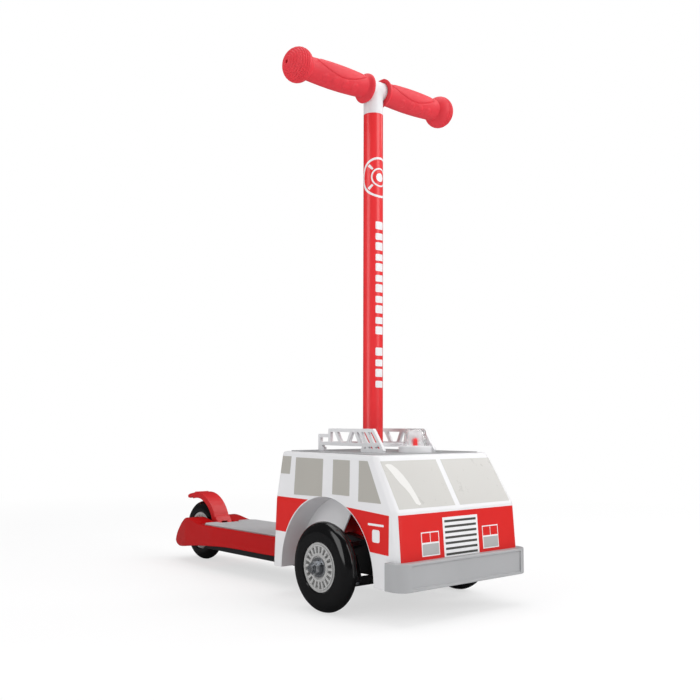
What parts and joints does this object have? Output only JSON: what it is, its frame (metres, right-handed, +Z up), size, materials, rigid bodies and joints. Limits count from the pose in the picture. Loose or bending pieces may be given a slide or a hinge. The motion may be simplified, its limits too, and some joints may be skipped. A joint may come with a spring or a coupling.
{
  "type": "lean-to-steer three-wheel child scooter with fire-engine body",
  "caption": "Child scooter with two front wheels that steer by leaning, one rear wheel under a step brake, a fixed T-bar handlebar and a fire-engine body with ladder and beacon.",
  "frame": {"origin": "on the ground under the middle of the bounding box", "axes": "+Z up, -Y is the front of the scooter, +X is the rider's left, so the centre plane is X = 0"},
  "size_m": [0.2852, 0.595, 0.67],
  "materials": {
    "red_plastic": "gloss moulded, deep red",
    "red_paint": "gloss red paint on steel tube",
    "red_grip": "matt soft grip",
    "white_plastic": "satin moulded white",
    "grey_plastic": "satin moulded grey",
    "grey_rubber": "grooved mat",
    "black_plastic": "moulded black",
    "black_tyre": "gloss cast urethane",
    "hub_plastic": "light grey moulding",
    "zinc_steel": "bright zinc plate",
    "spring_steel": "oiled spring wire",
    "clear_plastic": "clear moulded",
    "red_lamp": "red lamp body",
    "circuit_board": "green board",
    "cell_can": "wrapped cell"
  },
  "bodies": {
    "scooter_frame": {"deck": "red_plastic", "grip_mat": "grey_rubber", "floor_pan": "black_plastic", "truck_housing": "black_plastic", "pan_screws": "zinc_steel", "rear_axle": "zinc_steel", "rear_axle_keepers": "black_plastic", "rear_side_spacers": "black_plastic", "brake_pin": "zinc_steel", "brake_spring": "spring_steel", "column_tube": "red_paint", "column_bolt": "zinc_steel", "column_nut": "zinc_steel", "handlebar_tee": "white_plastic", "handlebar_tube": "zinc_steel", "grip_right": "red_grip", "grip_left": "red_grip", "body_shell": "white_plastic", "roof_panel": "grey_plastic", "bumper": "grey_plastic", "front_bracket": "black_plastic", "rear_bracket": "black_plastic", "roof_ladder": "white_plastic", "beacon_base": "white_plastic", "beacon_board": "circuit_board", "beacon_lamp": "red_lamp", "beacon_dome": "clear_plastic", "battery_box": "black_plastic", "battery_cover": "black_plastic", "battery_cells": "cell_can", "switch_body": "black_plastic", "kingpin_right": "zinc_steel", "centring_spring_right": "spring_steel", "kingpin_left": "zinc_steel", "centring_spring_left": "spring_steel"},
    "knuckle_right": {"knuckle_right": "black_plastic", "front_right_axle": "zinc_steel", "front_right_nut": "zinc_steel"},
    "front_wheel_right": {"front_right_tyre": "black_tyre", "front_right_hub": "hub_plastic", "front_right_bearings": "zinc_steel", "front_right_spacer": "zinc_steel"},
    "knuckle_left": {"knuckle_left": "black_plastic", "front_left_axle": "zinc_steel", "front_left_nut": "zinc_steel"},
    "front_wheel_left": {"front_left_tyre": "black_tyre", "front_left_hub": "hub_plastic", "front_left_bearings": "zinc_steel", "front_left_spacer": "zinc_steel"},
    "tie_rod": {"tie_rod": "black_plastic", "link_pin_right": "zinc_steel", "link_pin_left": "zinc_steel"},
    "rear_wheel": {"rear_tyre": "black_tyre", "rear_hub": "hub_plastic", "rear_bearings": "zinc_steel", "rear_spacer": "zinc_steel"},
    "brake": {"brake_fender": "red_plastic"},
    "light_switch": {"switch_slider": "white_plastic"}
  },
  "joints": [
    {"name": "steer_right", "type": "hinge", "parent": "scooter_frame", "child": "knuckle_right", "pos_m": [-0.072, -0.1775, 0.0508], "axis": [0, 0.342, 0.9397], "range_deg": [-18, 18], "stiffness_Nm_per_rad": 6},
    {"name": "steer_left", "type": "hinge", "parent": "scooter_frame", "child": "knuckle_left", "pos_m": [0.072, -0.1775, 0.0508], "axis": [0, 0.342, 0.9397], "range_deg": [-18, 18]},
    {"name": "tie_rod_swing", "type": "hinge", "parent": "knuckle_right", "child": "tie_rod", "pos_m": [-0.072, -0.15981, 0.0234], "axis": [0, 0.342, 0.9397], "range_deg": [-18, 18]},
    {"name": "front_right_spin", "type": "hinge", "parent": "knuckle_right", "child": "front_wheel_right", "pos_m": [-0.111, -0.1775, 0.0508], "axis": [1, 0, 0], "continuous": true},
    {"name": "front_left_spin", "type": "hinge", "parent": "knuckle_left", "child": "front_wheel_left", "pos_m": [0.111, -0.1775, 0.0508], "axis": [1, 0, 0], "continuous": true},
    {"name": "rear_spin", "type": "hinge", "parent": "scooter_frame", "child": "rear_wheel", "pos_m": [0, 0.2525, 0.045], "axis": [1, 0, 0], "continuous": true},
    {"name": "brake_press", "type": "hinge", "parent": "scooter_frame", "child": "brake", "pos_m": [0, 0.1989, 0.0555], "axis": [-1, 0, 0], "range_deg": [0, 4], "stiffness_Nm_per_rad": 1.5, "springref_deg": -14.32},
    {"name": "light_switch_slide", "type": "slide", "parent": "scooter_frame", "child": "light_switch", "axis": [1, 0, 0], "range_m": [0, 0.004]}
  ],
  "couplings": [
    {"joint": "steer_left", "follows": "steer_right", "ratio": 1},
    {"joint": "tie_rod_swing", "follows": "steer_right", "ratio": -1}
  ]
}
